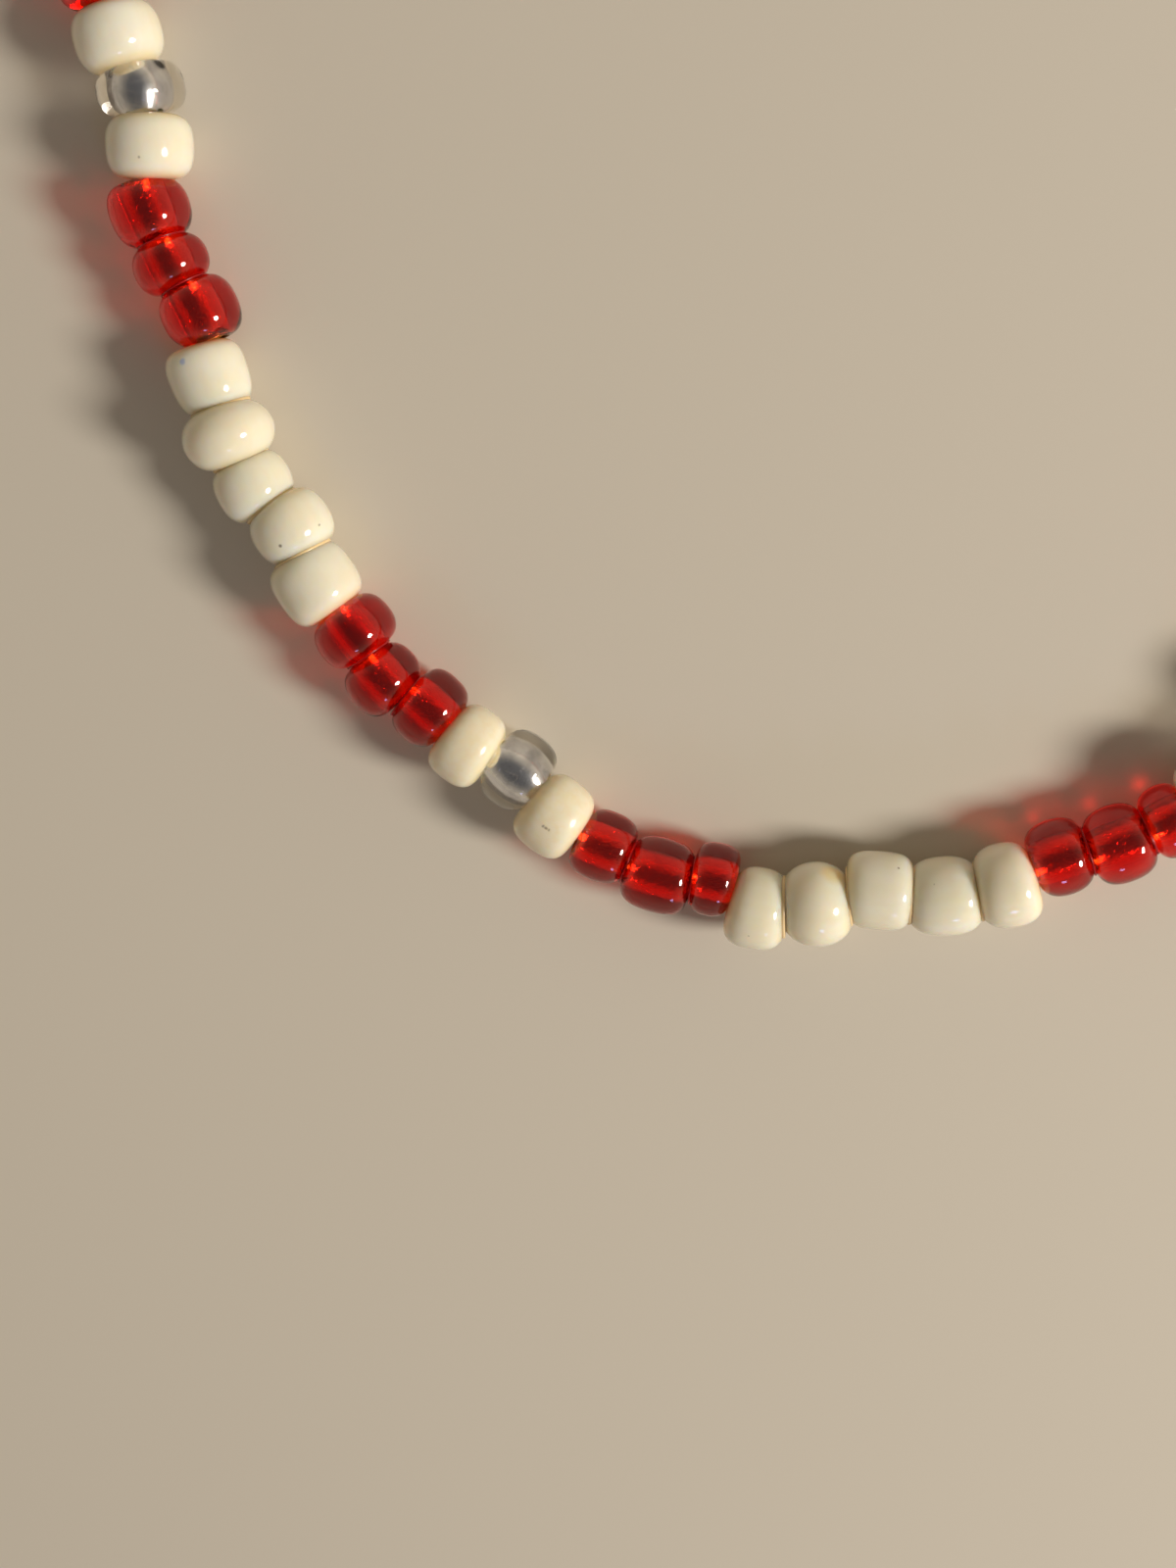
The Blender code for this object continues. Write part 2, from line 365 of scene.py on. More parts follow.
lampPlans = {
    "key": {
        "azimuth": -10,
        "elevation": 33,
        "distance": 0.5,
        "size": 0.13,
        "power": 2.45,
        "colour": (1.0, 0.95, 0.88),
    },
    "cool": {
        "azimuth": -74,
        "elevation": 27,
        "distance": 0.6,
        "size": 0.09,
        "power": 0.20,
        "colour": (0.42, 0.48, 1.0),
    },
}

skyPlan = {
    "low": (0.46, 0.39, 0.29),
    "high": (0.085, 0.08, 0.075),
    "lowEnd": 0.10,
    "highStart": 0.85,
    "strength": 1.70,
    "turn": 0.40,
}

# lengths here are shares of the bead's radius, apart from the size
focusPlan = {
    "power": 1.7e-5,
    "leastShare": 0.04,
    "colour": (1.0, 0.03, 0.015),
    "size": 0.20 * mm,
    "across": 0.94,
    "along": 0.30,
    "height": 0.20,
}


def compass(azimuth, elevation=0):
    # the direction towards a place in the room, in degrees
    a = math.radians(azimuth)
    e = math.radians(elevation)
    return Vector((math.cos(a) * math.cos(e), math.sin(a) * math.cos(e), math.sin(e)))


def hideFrom(thing, *rays):
    for ray in rays:
        setattr(thing, f"visible_{ray}", False)


def makeLamp(name, plan):
    data = bpy.data.lights.new(name, "AREA")
    data.shape = "DISK"
    data.size = plan["size"]
    data.energy = plan["power"]
    data.color = plan["colour"]
    lamp = addObject(name, data)
    back = compass(plan["azimuth"], plan["elevation"])
    lamp.location = lampTarget + back * plan["distance"]
    lamp.rotation_euler = back.to_track_quat("Z", "Y").to_euler()


def makeSky():
    world = bpy.data.worlds.new("studio")
    world.use_nodes = True
    maker = NodeMaker(world.node_tree)
    directions = {0: maker.node("ShaderNodeTexCoord", output="Generated")}
    height = maker.node("ShaderNodeSeparateXYZ", sockets=directions, output="Z")
    east = maker.node("ShaderNodeSeparateXYZ", sockets=directions, output="X")
    stops = [(skyPlan["lowEnd"], skyPlan["low"]), (skyPlan["highStart"], skyPlan["high"])]
    background = world.node_tree.nodes["Background"]
    maker.plug(background, "Color", maker.node("ShaderNodeValToRGB", {"stops": stops}, {0: height}))
    # the room is darker on the side away from the key lamp
    swing = skyPlan["strength"] * skyPlan["turn"] / 2
    maker.plug(background, "Strength", east * swing + (skyPlan["strength"] - swing))
    bpy.context.scene.world = world


def makeFocus(bead):
    # a small lamp on the far side of a red bead, for the light that the bead gathers there
    away = -compass(lampPlans["key"]["azimuth"])
    across = bead["side"] * math.copysign(1, away.dot(bead["side"]))
    data = bpy.data.lights.new("focus", "POINT")
    data.shadow_soft_size = focusPlan["size"]
    data.energy = focusPlan["power"] * max(focusPlan["leastShare"], away.dot(across) ** 2)
    data.color = focusPlan["colour"]
    lamp = addObject("focus", data)
    along = bead["axis"] * (focusPlan["along"] * away.dot(bead["axis"]))
    place = bead["centre"] + (across * focusPlan["across"] + along) * bead["radius"]
    lamp.location = (place.x, place.y, focusPlan["height"] * bead["radius"])
    hideFrom(lamp, "camera", "glossy", "transmission")


for name, plan in lampPlans.items():
    makeLamp(name, plan)
makeSky()
for bead in beads:
    if bead["kind"] == "red":
        makeFocus(bead)
bpy.context.scene.view_settings.view_transform = "Standard"
print("lights set")


# Meshes

def makePiece(name, points, faces, material, values=None):
    mesh = bpy.data.meshes.new(name)
    mesh.from_pydata(points, [], faces)
    for key, numbers in (values or {}).items():
        attribute = mesh.attributes.new(key, "FLOAT", "POINT")
        attribute.data.foreach_set("value", np.asarray(numbers, np.float32))
    mesh.materials.append(material)
    mesh.shade_smooth()
    return addObject(name, mesh)


def ringFaces(ringCount, sides, first=0, closed=False):
    # quads between rings of points that follow one another, facing out for rings that run along the axis
    faces = []
    for ring in range(ringCount if closed else ringCount - 1):
        a = first + ring * sides
        b = first + (ring + 1) % ringCount * sides
        for k in range(sides):
            n = (k + 1) % sides
            faces.append((a + k, a + n, b + n, b + k))
    return faces


def tubeFaces(ringCount, sides):
    # a row of rings with a flat face at each end
    last = (ringCount - 1) * sides
    return [*ringFaces(ringCount, sides), tuple(range(sides)), tuple(reversed(range(last, last + sides)))]


def joinShells(shells, sides):
    # the points and faces of many closed shells, each a row of rings that ends where it starts
    faces = []
    first = 0
    for shell in shells:
        faces += ringFaces(len(shell) // sides, sides, first, True)
        first += len(shell)
    return np.concatenate(shells), faces


def turnedPoints(centre, axis, outline, sides):
    # rings round an axis, for an outline of places along it and distances from it
    side = up.cross(axis).normalized()
    rise = axis.cross(side)
    angles = 2 * math.pi * np.arange(sides)[:, None] / sides
    circle = np.cos(angles) * np.array(side) + np.sin(angles) * np.array(rise)
    rings = [np.array(centre) + place * np.array(axis) + radius * circle for place, radius in outline]
    return np.concatenate(rings)


def evenSteps(outline, count):
    # the same outline with its points at even distances along it
    outline = np.asarray(outline)
    lengths = np.hypot(*np.diff(outline, axis=0).T)
    arcs = np.concatenate([[0], np.cumsum(lengths)])
    wanted = np.linspace(0, arcs[-1], count)
    return np.stack([np.interp(wanted, arcs, outline[:, axis]) for axis in (0, 1)], 1)


beadForm = {
    "sides": 56,
    "curveSteps": 400,
    "outerSteps": 30,
    "rimSteps": 4,
    "boreSteps": 3,
    "rimRounding": 0.12 * mm,
    "silverBore": 0.34 * mm,
    "wallShare": 0.85,
    "endShare": 1.5,
    "endFollow": 0.4,
    "faceReach": 1.2 * mm,
    "ripple": 0.012,
    "rippleSeed": 500,
    # where none, one and both of the beads at a joint are ivory
    "gaps": (-0.14 * mm, -0.10 * mm, -0.27 * mm),
    "missShares": (1, 0.4, 0.15),
}


def beadOutline(bead):
    # place along the axis and distance from it, round the wall of the bead and back through the bore
    half = bead["length"] / 2
    radius = bead["radius"]
    bore = beadForm["silverBore"] if bead["kind"] == "silver" else strand["boreWidth"] / 2
    rim = beadForm["rimRounding"]
    wallPower = 2 / (bead["square"] * beadForm["wallShare"])
    endPower = 2 / (bead["square"] * beadForm["endShare"])
    start = math.asin(((bore + rim) / radius) ** (1 / endPower))
    outer = []
    for angle in np.linspace(start, math.pi - start, beadForm["curveSteps"]):
        along = -math.copysign(abs(math.cos(angle)) ** wallPower, math.cos(angle))
        outer.append((along * half, radius * math.sin(angle) ** endPower))
    outer = evenSteps(outer, beadForm["outerSteps"])
    face = outer[-1][0]
    rimTurn = np.linspace(0, math.pi / 2, beadForm["rimSteps"] + 1)[1:]
    right = [(face - rim + rim * math.cos(t), bore + rim - rim * math.sin(t)) for t in rimTurn]
    inner = [(x, bore) for x in np.linspace(face - rim, rim - face, beadForm["boreSteps"] + 2)[1:-1]]
    left = [(-x, r) for x, r in reversed(right)]
    return np.array([*outer, *right, *inner, *left])


def endPlanes(bead):
    # for each end, how far the facing plane lies along the axis and how much that grows sideways
    found = []
    for sign in (-1, 1):
        place, direction = joints[bead["index"] + (sign + 1) // 2]
        index = bead["index"] + sign
        other = beads[index]["kind"] if 0 <= index < len(beads) else "clasp"
        ivories = (bead["kind"], other).count("ivory")
        facing = bead["axis"].dot(direction)
        slope = -bead["side"].dot(direction) / facing * beadForm["endFollow"]
        # a face that follows the plane only in part is set back by what it misses
        missed = abs(slope) * (1 / beadForm["endFollow"] - 1) * beadForm["faceReach"]
        missed *= beadForm["missShares"][ivories]
        reach = (place - bead["centre"]).dot(direction) / facing
        found.append((reach - sign * (beadForm["gaps"][ivories] / 2 + missed), slope))
    return found


def beadPoints(bead, sides):
    # the points of one bead, with their place along the axis from -1 to 1 and turn round it from 0 to 1
    outline = beadOutline(bead)
    share = outline[:, :1] / np.abs(outline[:, 0]).max()
    angles = 2 * math.pi * np.arange(sides)[None, :] / sides
    chance = random.Random(beadForm["rippleSeed"] + bead["index"])
    phases = [chance.uniform(0, 2 * math.pi) for _ in range(2)]
    wave = 0.5 + np.cos(2 * angles + phases[0]) / 3 + np.cos(3 * angles + phases[1]) / 6
    outer = (outline[:, 1:] / bead["radius"]).clip(0, 1) ** 2
    radius = outline[:, 1:] * (1 - beadForm["ripple"] * outer * wave)
    radius = radius * (1 - bead["taper"] * outer * (share + 1) / 2)
    sideways = radius * np.cos(angles)
    (startReach, startSlope), (endReach, endSlope) = endPlanes(bead)
    start = (startReach + startSlope * sideways) * -share
    end = (endReach + endSlope * sideways) * share
    reach = np.where(share < 0, start, end)
    rise = radius * np.sin(angles)
    points = np.array(bead["centre"])
    for amount, direction in ((reach, bead["axis"]), (sideways, bead["side"]), (rise, up)):
        points = points + amount[:, :, None] * np.array(direction)
    points[:, :, 2] -= points[:, :, 2].min()
    turn = np.tile(angles[0] / (2 * math.pi), len(outline))
    return points.reshape(-1, 3), np.repeat(share, sides), turn


def makeBeads(name, chosen, material, sides=beadForm["sides"]):
    shells, along, turn = zip(*(beadPoints(bead, sides) for bead in chosen))
    tones = [np.full(len(shell), bead["tone"]) for shell, bead in zip(shells, chosen)]
    parts = {"along": along, "turn": turn, "tone": tones}
    values = {key: np.concatenate(lists) for key, lists in parts.items()}
    return makePiece(name, *joinShells(shells, sides), material, values)


# Painted joints: a thin rounded ring where two beads of one colour meet. Its colour is painted light: a
# painted amber glow between ivory beads and a painted dark red shade between red beads

paintedJointForm = {
    # ivory rings: painted amber glow in the shaded valley between two ivory beads
    "ivory": {"share": 0.765, "inner": 0.85 * mm, "thickness": 0.20 * mm, "colour": (0.80, 0.60, 0.32)},
    # red rings: painted dark red shade that fills the gap between two red beads
    "red": {"share": 0.66, "inner": 1.10 * mm, "thickness": 0.10 * mm, "colour": (0.30, 0.006, 0.008)},
}

paintedJointLook = {"cloudScale": 900, "cloudShare": 0.3, "darkShare": 0.7, "roughness": 0.25, "rimSteps": 7}


def paintedJointGlass(name, colour):
    # the colour of the painted glow or painted shade in the joint rings, clouded at random
    finish = Finish(name)
    cloud = finish.noise(finish.places(), paintedJointLook["cloudScale"]) * paintedJointLook["cloudShare"]
    dark = [part * paintedJointLook["darkShare"] for part in colour]
    finish.set({"Base Color": finish.mix(cloud, colour, dark), "Roughness": paintedJointLook["roughness"]})
    return finish.material


def makePaintedJoints(name, members, kind, material):
    form = paintedJointForm[kind]
    half = form["thickness"] / 2
    turns = np.linspace(-math.pi / 2, math.pi / 2, paintedJointLook["rimSteps"])
    shells = []
    for before, after in zip(members, beads[members[0]["index"] + 1 :]):
        if before["kind"] == after["kind"] == kind:
            place, direction = joints[after["index"]]
            smaller = min(before["radius"], after["radius"])
            reach = smaller * form["share"] - half
            rim = [(half * math.sin(t), reach + half * math.cos(t)) for t in turns]
            outline = [(-half, form["inner"]), *rim, (half, form["inner"])]
            centre = place.to_2d().to_3d() + up * smaller
            shells.append(turnedPoints(centre, direction, outline, beadForm["sides"]))
    return makePiece(name, *joinShells(shells, beadForm["sides"]), material)


# Ivory beads: opaque cream glass, with a painted amber glow where two beads meet

ivoryLook = {
    "cream": (0.78, 0.72, 0.56),
    "pale": (0.81, 0.78, 0.68),
    "honey": (0.78, 0.68, 0.47),
    # painted glow: the amber that the beads take on towards their ends
    "amber": (0.86, 0.67, 0.37),
    "speck": (0.20, 0.17, 0.14),
    "marks": {"blue": (0.42, 0.50, 0.72), "dark": (0.16, 0.13, 0.10), "amber": (0.82, 0.60, 0.22)},
    # how fine each pattern is, where it starts and is full, and how much of it shows
    "cloudScale": 330,
    "cloudEdges": (0.35, 0.68),
    "cloudShare": 0.7,
    "streakCount": 24,
    "streakSpread": 40,
    "streakEdges": (0.35, 0.75),
    "streakShare": 0.25,
    "honeyTones": (0.5, 1.0),
    "honeyShare": 0.45,
    "paintedGlowEnds": (0.68, 1.0),
    "paintedGlowShare": 0.80,
    "speckScale": 420,
    "speckEdges": (0.016, 0.030),
    "speckLimit": 0.55,
    "speckShare": 0.8,
    "satinTones": (0.72, 0.82),
    "mottleScale": 2600,
    "mottleEdges": (0.40, 0.65),
    "mottleShare": 0.55,
    "markScale": 5000,
    "markShake": 0.12 * mm,
    "markCore": 0.35,
    "roughness": 0.08,
    "cloudRoughness": 0.05,
    "satinRoughness": 0.10,
    "glow": 0.9,
    "glowDepth": 1.8 * mm,
    "glowColours": (1.0, 0.72, 0.42),
    "waveScale": 900,
    "waviness": 0.010 * mm,
}

# marks on single beads: place in the picture, radius in millimetres, strength and colour
beadMarks = [
    (186, 369, 0.24, 0.85, "blue"),
    (286, 557, 0.12, 0.80, "dark"),
    (326, 536, 0.09, 0.60, "dark"),
    (554, 843, 0.11, 0.60, "dark"),
    (557, 845, 0.12, 0.65, "dark"),
    (560, 847, 0.10, 0.50, "dark"),
    (917, 886, 0.08, 0.70, "dark"),
    (953, 902, 0.06, 0.45, "dark"),
    (142, 160, 0.07, 0.50, "dark"),
    (764, 955, 0.06, 0.45, "dark"),
    (850, 891, 0.90, 0.60, "amber"),
]


def findMarks():
    # each mark's place on its bead, from the line of sight through its place in the picture
    sides = beadForm["sides"]
    shells = [beadPoints(bead, sides)[0] for bead in beads[chartStart : chartStart + len(chart)]]
    points, faces = joinShells(shells, sides)
    tree = BVHTree.FromPolygons(points.tolist(), faces)
    eye = Vector((routeShift.x, routeShift.y, cameraPlan["height"]))
    right, upward, back = (Vector(cameraPlan[name]) for name in ("right", "up", "back"))
    width, height = cameraPlan["picture"]
    depth = cameraPlan["focalLength"] / cameraPlan["sensor"] * height
    # the shift undoes the mean of the noise that roughens the marks
    shift = Vector((1, 1, 1)) * ivoryLook["markShake"] / 2
    found = []
    for x, y, size, strength, name in beadMarks:
        sight = right * (x - width / 2) + upward * (height / 2 - y) - back * depth
        place = tree.ray_cast(eye, sight.normalized())[0]
        if place:
            found.append((place + shift, size * mm, strength, name))
    return found


def ivoryGlass():
    look = ivoryLook
    finish = Finish("ivoryGlass")
    places = finish.places()
    along = abs(finish.value("along"))
    tone = finish.value("tone")

    # pale clouds and streaks that run round the bead, honey in the darker beads and a painted amber glow
    # at the ends
    cloud = finish.noise(places, look["cloudScale"], 3)
    clouds = finish.ramp(cloud, *look["cloudEdges"]) * look["cloudShare"]
    turns = {0: finish.value("turn") * look["streakCount"], 1: along, 2: tone * look["streakSpread"]}
    turns = finish.node("ShaderNodeCombineXYZ", sockets=turns)
    streaks = finish.ramp(finish.noise(turns, 1.0, 3), *look["streakEdges"]) * look["streakShare"]
    colour = finish.mix(clouds + streaks, look["cream"], look["pale"])
    honey = finish.ramp(tone, *look["honeyTones"]) * look["honeyShare"]
    colour = finish.mix(honey, colour, look["honey"])
    # painted amber glow towards both ends of each bead, where it meets the next
    amber = finish.ramp(along, *look["paintedGlowEnds"]) * look["paintedGlowShare"]
    colour = finish.mix(amber, colour, look["amber"])

    # a dark speck in some of the cells of a pattern
    cells = {"Vector": places, "Scale": look["speckScale"], "Randomness": 1.0}
    dots = finish.node("ShaderNodeTexVoronoi", sockets=cells, output="Distance")
    picks = finish.node("ShaderNodeTexVoronoi", sockets=cells, output="Color")
    picked = finish.node("ShaderNodeSeparateColor", sockets={0: picks}) > look["speckLimit"]
    speck = (1 - finish.ramp(dots, *look["speckEdges"])) * picked
    colour = finish.mix(speck * look["speckShare"], colour, look["speck"])

    # the beads of the darkest tones are satin and mottled
    satin = finish.ramp(tone, *look["satinTones"])
    mottle = finish.ramp(finish.noise(places, look["mottleScale"], 3), *look["mottleEdges"]) * satin
    colour = finish.mix(mottle * look["mottleShare"], colour, look["honey"])

    # the marks have rough edges
    shaken = {0: finish.noise(places, look["markScale"], output="Color"), "Scale": look["markShake"]}
    nearby = finish.vector("ADD", {0: places, 1: finish.vector("SCALE", shaken)})
    for place, size, strength, name in findMarks():
        gap = finish.vector("DISTANCE", {0: nearby, 1: place}, "Value")
        spot = 1 - finish.ramp(gap, size * look["markCore"], size)
        colour = finish.mix(spot * strength, colour, look["marks"][name])

    roughness = cloud * look["cloudRoughness"] + satin * look["satinRoughness"] + look["roughness"]
    finish.set({
        "Base Color": colour,
        "Roughness": roughness,
        "Subsurface Weight": look["glow"],
        "Subsurface Radius": look["glowColours"],
        "Subsurface Scale": look["glowDepth"],
        "Normal": finish.bump(finish.noise(places, look["waveScale"]), look["waviness"]),
    })
    return finish.material


# Red beads: clear deep red glass round a bright lining. Silver-lined beads: clear glass round a mirror

redLook = {
    "glass": (1.0, 0.46, 0.30),
    "ior": 1.52,
    "tint": (0.982, 0.20, 0.05),
    "density": 2000,
    "roughness": 0.02,
    "waveScale": 700,
    "waviness": 0.012 * mm,
}

silverLook = {
    "glass": (1.0, 0.99, 0.97),
    "ior": 1.42,
    "roughness": 0.01,
    "waveScale": 800,
    "waviness": 0.010 * mm,
}


def clearGlass(name, look):
    finish = Finish(name)
    finish.set({
        "Base Color": (*look["glass"], 1),
        "Transmission Weight": 1.0,
        "IOR": look["ior"],
        "Roughness": look["roughness"],
        "Normal": finish.bump(finish.noise(finish.places(), look["waveScale"]), look["waviness"]),
    })
    if "density" in look:
        sockets = {"Color": (*look["tint"], 1), "Density": look["density"]}
        finish.plug(finish.outlet, "Volume", finish.node("ShaderNodeVolumeAbsorption", sockets=sockets))
    return finish.material


# Linings: metal tubes in the bores, each a little shorter than its bead and closed at both ends

redLining = {
    "sides": 40,
    "steps": 20,
    "inner": 0.60 * mm,
    "middle": 0.76 * mm,
    "end": 0.98 * mm,
    "power": 5,
    "root": 1,
    "setBack": 0.10 * mm,
    "light": (1.0, 0.88, 0.45),
    "dark": (0.50, 0.22, 0.10),
    "roughness": 0.14,
    "grain": 8200,
    "depth": 0.035 * mm,
}

silverLining = {
    "sides": 56,
    "steps": 28,
    "inner": 0.10 * mm,
    "middle": 1.12 * mm,
    "end": 0.34 * mm,
    "power": 2.2,
    "root": 0.5,
    "setBack": 0.20 * mm,
    "light": (0.78, 0.79, 0.83),
    "dark": (0.17, 0.17, 0.20),
    "roughness": 0.14,
    "grain": 2200,
    "depth": 0.010 * mm,
}

liningLook = {
    "patchScale": 600,
    "patchEdges": (0.42, 0.70),
    "patchShare": 0.6,
    "patchRoughness": 0.10,
    "smoothEnds": (0.72, 0.92),
    "smoothShare": 0.6,
    "grainShare": 0.5,
}


def liningMetal(name, form):
    # grainy metal with dull patches that is smoother near the ends of the lining
    finish = Finish(name)
    places = finish.places()
    grain = form["grain"]
    smooth = finish.ramp(abs(finish.value("along")), *liningLook["smoothEnds"])
    rough = 1 - smooth * liningLook["smoothShare"]
    cells = finish.node("ShaderNodeTexVoronoi", sockets={"Vector": places, "Scale": grain}, output="Color")
    height = finish.node("ShaderNodeSeparateColor", sockets={0: cells}) * liningLook["grainShare"]
    height = height + finish.noise(places, grain / 2)
    patch = finish.ramp(finish.noise(places, liningLook["patchScale"], 3), *liningLook["patchEdges"])
    finish.set({
        "Base Color": finish.mix(patch * liningLook["patchShare"], form["light"], form["dark"]),
        "Metallic": 1.0,
        "Roughness": patch * liningLook["patchRoughness"] + rough * form["roughness"],
        "Normal": finish.bump(height * rough, form["depth"], 1.0),
    })
    return finish.material


def makeLinings(name, chosen, form, material):
    sides = form["sides"]
    shares = -np.cos(np.linspace(0, math.pi, form["steps"]))
    swells = (1 - abs(shares) ** form["power"]) ** form["root"]
    radii = form["end"] + (form["middle"] - form["end"]) * swells
    shares = np.array([-1, *shares, 1])
    radii = np.array([form["inner"], *radii, form["inner"]])
    shells = []
    for bead in chosen:
        (startReach, _), (endReach, _) = endPlanes(bead)
        middle = (startReach + endReach) / 2
        half = (endReach - startReach) / 2 - form["setBack"]
        outline = zip(middle + shares * half, radii)
        shells.append(turnedPoints(bead["centre"], bead["axis"], outline, sides))
    values = {"along": np.tile(np.repeat(shares, sides), len(chosen))}
    return makePiece(name, *joinShells(shells, sides), material, values)


# Shades: shells just inside the clear beads that only shadows see, so that light goes on through them

shadePlan = {
    "tints": {"red": (0.50, 0.10, 0.03), "silver": (0.62, 0.60, 0.56)},
    "share": 0.96,
    "sides": 24,
}


def makeShade(name, chosen, tint):
    finish = Finish(name)
    clear = finish.node("ShaderNodeBsdfTransparent", sockets={"Color": (*tint, 1)})
    finish.plug(finish.outlet, "Surface", clear)
    smaller = [{**bead, "radius": bead["radius"] * shadePlan["share"]} for bead in chosen]
    shade = makeBeads(name, smaller, finish.material, shadePlan["sides"])
    hideFrom(shade, "camera", "diffuse", "glossy", "transmission", "volume_scatter")


# Pieces of both strings

def addPiece(piece, slot, *nodes):
    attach(piece, "root")
    if nodes:
        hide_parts(*nodes)


materials = {
    "ivory": ivoryGlass(),
    "red": clearGlass("redGlass", redLook),
    "silver": clearGlass("clearGlass", silverLook),
}
paintedJointGlasses = {kind: paintedJointGlass(f"{kind}PaintedJoint", form["colour"]) for kind, form in paintedJointForm.items()}
linings = {
    "red": (redLining, liningMetal("redLining", redLining)),
    "silver": (silverLining, liningMetal("silverLining", silverLining)),
}
front = len(beads) // 2
for half, members in (("left", beads[: front + 1]), ("right", beads[front + 1 :])):
    for kind, material in materials.items():
        chosen = [bead for bead in members if bead["kind"] == kind]
        piece = makeBeads(f"{kind}_beads_{half}", chosen, material)
        piece.visible_shadow = kind == "ivory"
        addPiece(piece, f"{kind}_glass", f"bead_string_{half}")
        if kind in shadePlan["tints"]:
            makeShade(f"{kind}_shade_{half}", chosen, shadePlan["tints"][kind])
        # rings of painted glow between ivory beads and of painted shade between red beads
        if kind in paintedJointGlasses:
            addPiece(makePaintedJoints(f"{kind}_painted_joints_{half}", members, kind, paintedJointGlasses[kind]), f"{kind}_glass")
        if kind in linings:
            addPiece(makeLinings(f"{kind}_linings_{half}", chosen, *linings[kind]), f"{kind}_glass")
    print("beads made,", half)


# Clasp: a plain barrel with a joint line round its middle

claspForm = {
    "sides": 64,
    "collarWidth": 3.2 * mm,
    "collarLength": 0.4 * mm,
    "taperLength": 2.8 * mm,
    "taperSteps": 8,
    "bulge": 0.10 * mm,
    "endWidth": 2.2 * mm,
    "holeWidth": 1.0 * mm,
    "seamDepth": 0.10 * mm,
    "seamWidth": 0.16 * mm,
    "rounding": 0.15 * mm,
}

claspLook = {
    "bright": (0.80, 0.79, 0.77),
    "dull": (0.42, 0.38, 0.33),
    "roughness": 0.15,
    "wornScale": 380,
    "wornEdges": (0.50, 0.72),
    "wornShare": 0.35,
    "wornRoughness": 0.14,
    "grooveShare": 0.8,
    "grooveRoughness": 0.3,
    "turnings": 260,
    "turningDepth": 0.01 * mm,
    "turningRoughness": 0.06,
}


def claspMetal():
    look = claspLook
    finish = Finish("claspMetal")
    along = finish.node("ShaderNodeCombineXYZ", sockets={0: finish.value("along") * look["turnings"]})
    turnings = finish.noise(along, 1.0, 3)
    worn = finish.ramp(finish.noise(finish.places(), look["wornScale"], 4), *look["wornEdges"])
    groove = finish.value("groove")
    colour = finish.mix(worn * look["wornShare"], look["bright"], look["dull"])
    roughness = worn * look["wornRoughness"] + turnings * look["turningRoughness"]
    roughness = roughness + groove * look["grooveRoughness"] + look["roughness"]
    finish.set({
        "Base Color": finish.mix(groove * look["grooveShare"], colour, look["dull"]),
        "Metallic": 1.0,
        "Roughness": roughness,
        "Normal": finish.bump(turnings, look["turningDepth"], 0.35),
    })
    return finish.material


def claspOutline():
    # place along the clasp, distance from its axis and how dull the metal is, for the corners of one half
    half = strand["claspLength"] / 2
    widest = strand["claspWidth"] / 2
    belly = half - claspForm["taperLength"]
    collar = half - claspForm["collarLength"]
    neck = claspForm["collarWidth"] / 2
    tip = claspForm["endWidth"] / 2
    hole = claspForm["holeWidth"] / 2
    seam = claspForm["seamWidth"] / 2
    corners = [
        (seam * 0.4, widest - claspForm["seamDepth"], 1),  # bottom of the joint line
        (seam, widest - 0.015 * mm, 0.3),
        (seam * 1.6, widest, 0),
        (belly * 0.5, widest, 0),  # straight barrel
        (belly - claspForm["rounding"], widest, 0),
        (belly + claspForm["rounding"], widest - 0.035 * mm, 0),
    ]
    for step in range(1, claspForm["taperSteps"]):  # taper
        share = step / claspForm["taperSteps"]
        radius = widest - (widest - neck) * share + math.sin(share * math.pi) * claspForm["bulge"]
        corners.append((belly + (collar - belly) * share, radius, 0))
    corners += [
        (collar - 0.05 * mm, neck + 0.02 * mm, 0),  # step down to the collar
        (collar, neck - 0.04 * mm, 0.5),
        (collar + 0.06 * mm, tip + 0.30 * mm, 0.8),
        (half - 0.12 * mm, tip + 0.06 * mm, 0.2),
        (half - 0.03 * mm, tip - 0.02 * mm, 0),  # rounded edge of the end
        (half, tip - 0.12 * mm, 0),
        (half, hole + 0.08 * mm, 0),  # rim and depth of the bore
        (half - 0.04 * mm, hole, 0.6),
        (half - strand["claspHoleDepth"], hole, 1),
    ]
    return [(-x, r, g) for x, r, g in reversed(corners)] + corners


def makeClasp(start, end, material):
    places, radii, grooves = np.array(claspOutline()).T
    sides = claspForm["sides"]
    heading = (end - start).to_2d().to_3d().normalized()
    centre = ((start + end) / 2).to_2d().to_3d() + up * strand["claspWidth"] / 2
    points = turnedPoints(centre, heading, zip(places, radii), sides)
    along = np.repeat(places / strand["claspLength"] * 2, sides)
    values = {"along": along, "groove": np.repeat(grooves, sides)}
    clasp = makePiece("barrel_clasp", points, tubeFaces(len(places), sides), material, values)
    addPiece(clasp, "clasp_metal", "clasp")
    return centre, heading


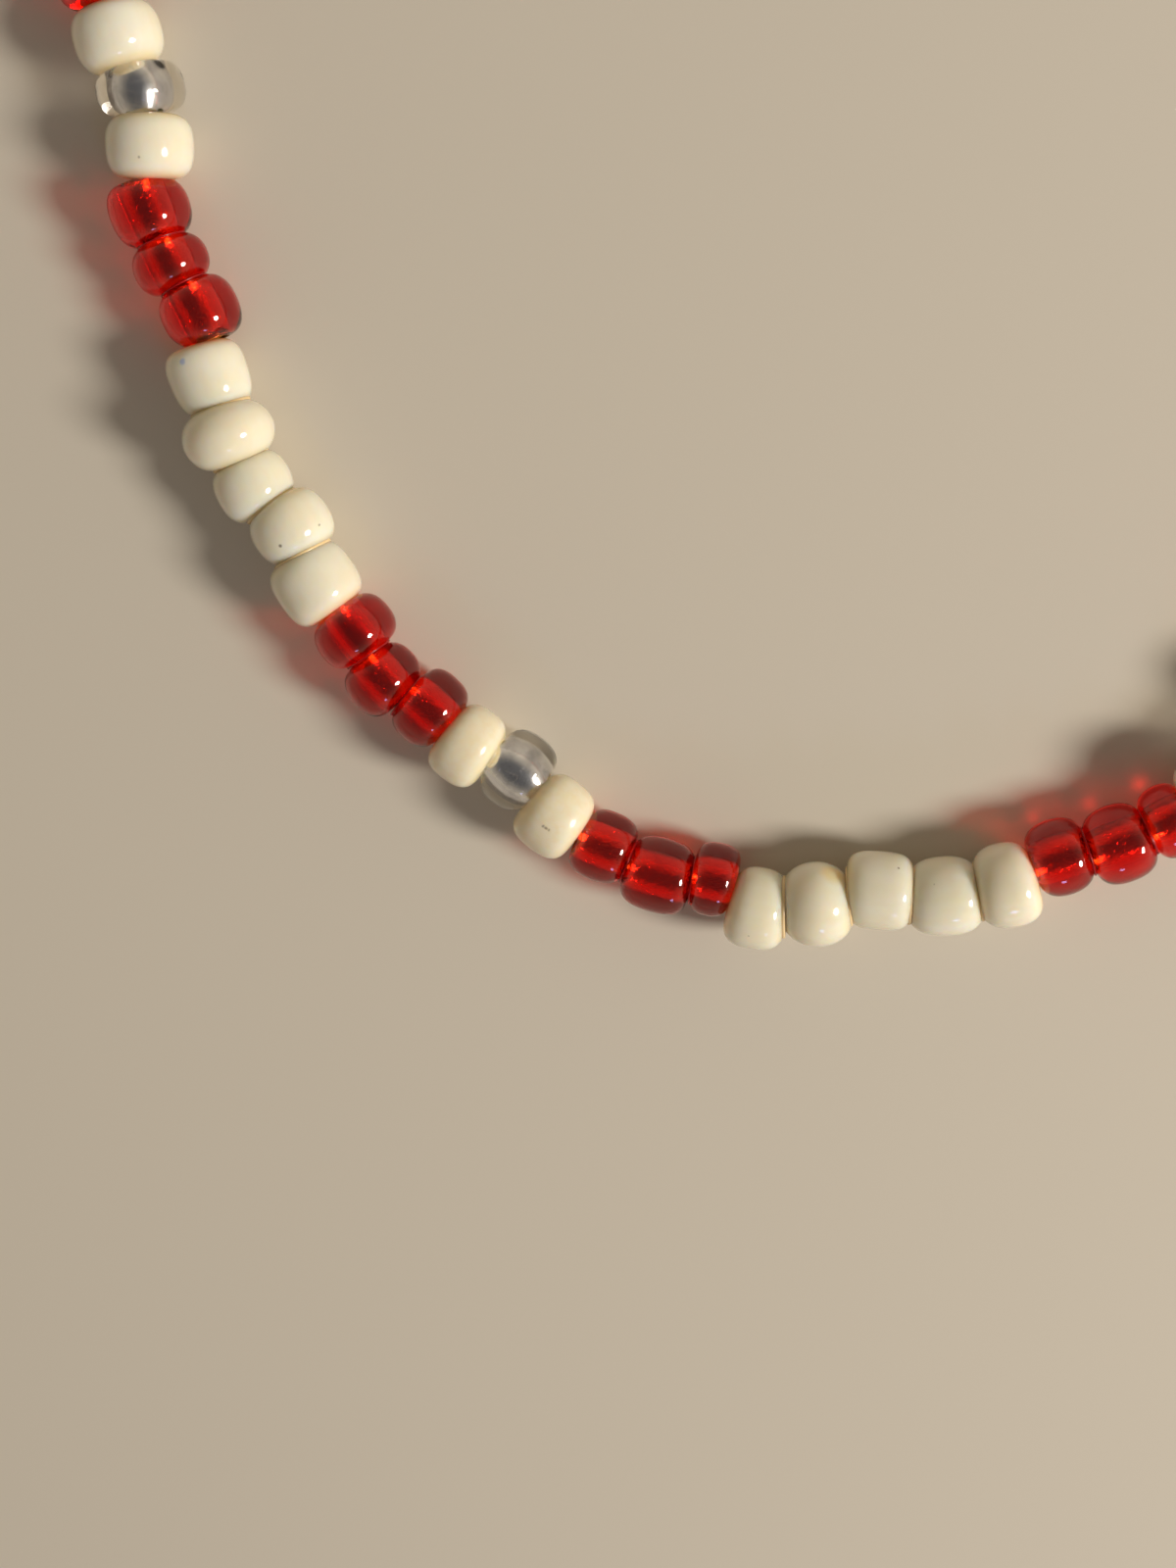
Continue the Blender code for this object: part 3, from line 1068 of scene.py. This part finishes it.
claspCentre, claspHeading = makeClasp(joints[-1][0], joints[0][0], claspMetal())
print("clasp made")


# Thread: one tube through all the joints, into the clasp at both ends

threadLook = {
    "sides": 12,
    "light": (0.80, 0.77, 0.70),
    "dark": (0.55, 0.50, 0.42),
    "roughness": 0.75,
    "fibreScale": 6000,
    "fibreEdges": (0.35, 0.65),
    "fibreDepth": 0.02 * mm,
}


def threadFibre():
    look = threadLook
    finish = Finish("threadFibre")
    fibres = finish.noise(finish.places(), look["fibreScale"])
    finish.set({
        "Base Color": finish.mix(finish.ramp(fibres, *look["fibreEdges"]), look["dark"], look["light"]),
        "Roughness": look["roughness"],
        "Normal": finish.bump(fibres, look["fibreDepth"], 0.8),
    })
    return finish.material


def makeThread(places, material):
    sides = threadLook["sides"]
    ring = [(0, strand["threadWidth"] / 2)]
    points = []
    for before, place, after in zip([places[0], *places], places, [*places[1:], places[-1]]):
        points.append(turnedPoints(place, (after - before).normalized(), ring, sides))
    thread = makePiece("bead_thread", np.concatenate(points), tubeFaces(len(places), sides), material)
    addPiece(thread, "thread", "thread")


threadReach = strand["claspLength"] / 2 - strand["claspHoleDepth"] + strand["pieceGap"]
threadEnds = [claspCentre + claspHeading * (sign * threadReach) for sign in (1, -1)]
makeThread([threadEnds[0], *(place for place, direction in joints), threadEnds[1]], threadFibre())
print("thread made")


# Floor

floorLook = {
    "radius": 4.0,
    "sides": 96,
    "drop": 0.02 * mm,
    "light": (0.66, 0.60, 0.50),
    "dark": (0.62, 0.56, 0.46),
    "cloudScale": 3.0,
    "roughness": 0.75,
}


def makeFloor():
    finish = Finish("paleFloor")
    cloud = finish.noise(finish.places(), floorLook["cloudScale"], 3)
    colour = finish.mix(cloud, floorLook["light"], floorLook["dark"])
    finish.set({"Base Color": colour, "Roughness": floorLook["roughness"]})
    sides = floorLook["sides"]
    rim = [compass(360 * k / sides) * floorLook["radius"] for k in range(sides)]
    points = [point - up * floorLook["drop"] for point in rim]
    makePiece("floor", points, [tuple(range(sides))], finish.material)


makeFloor()
print("floor made")
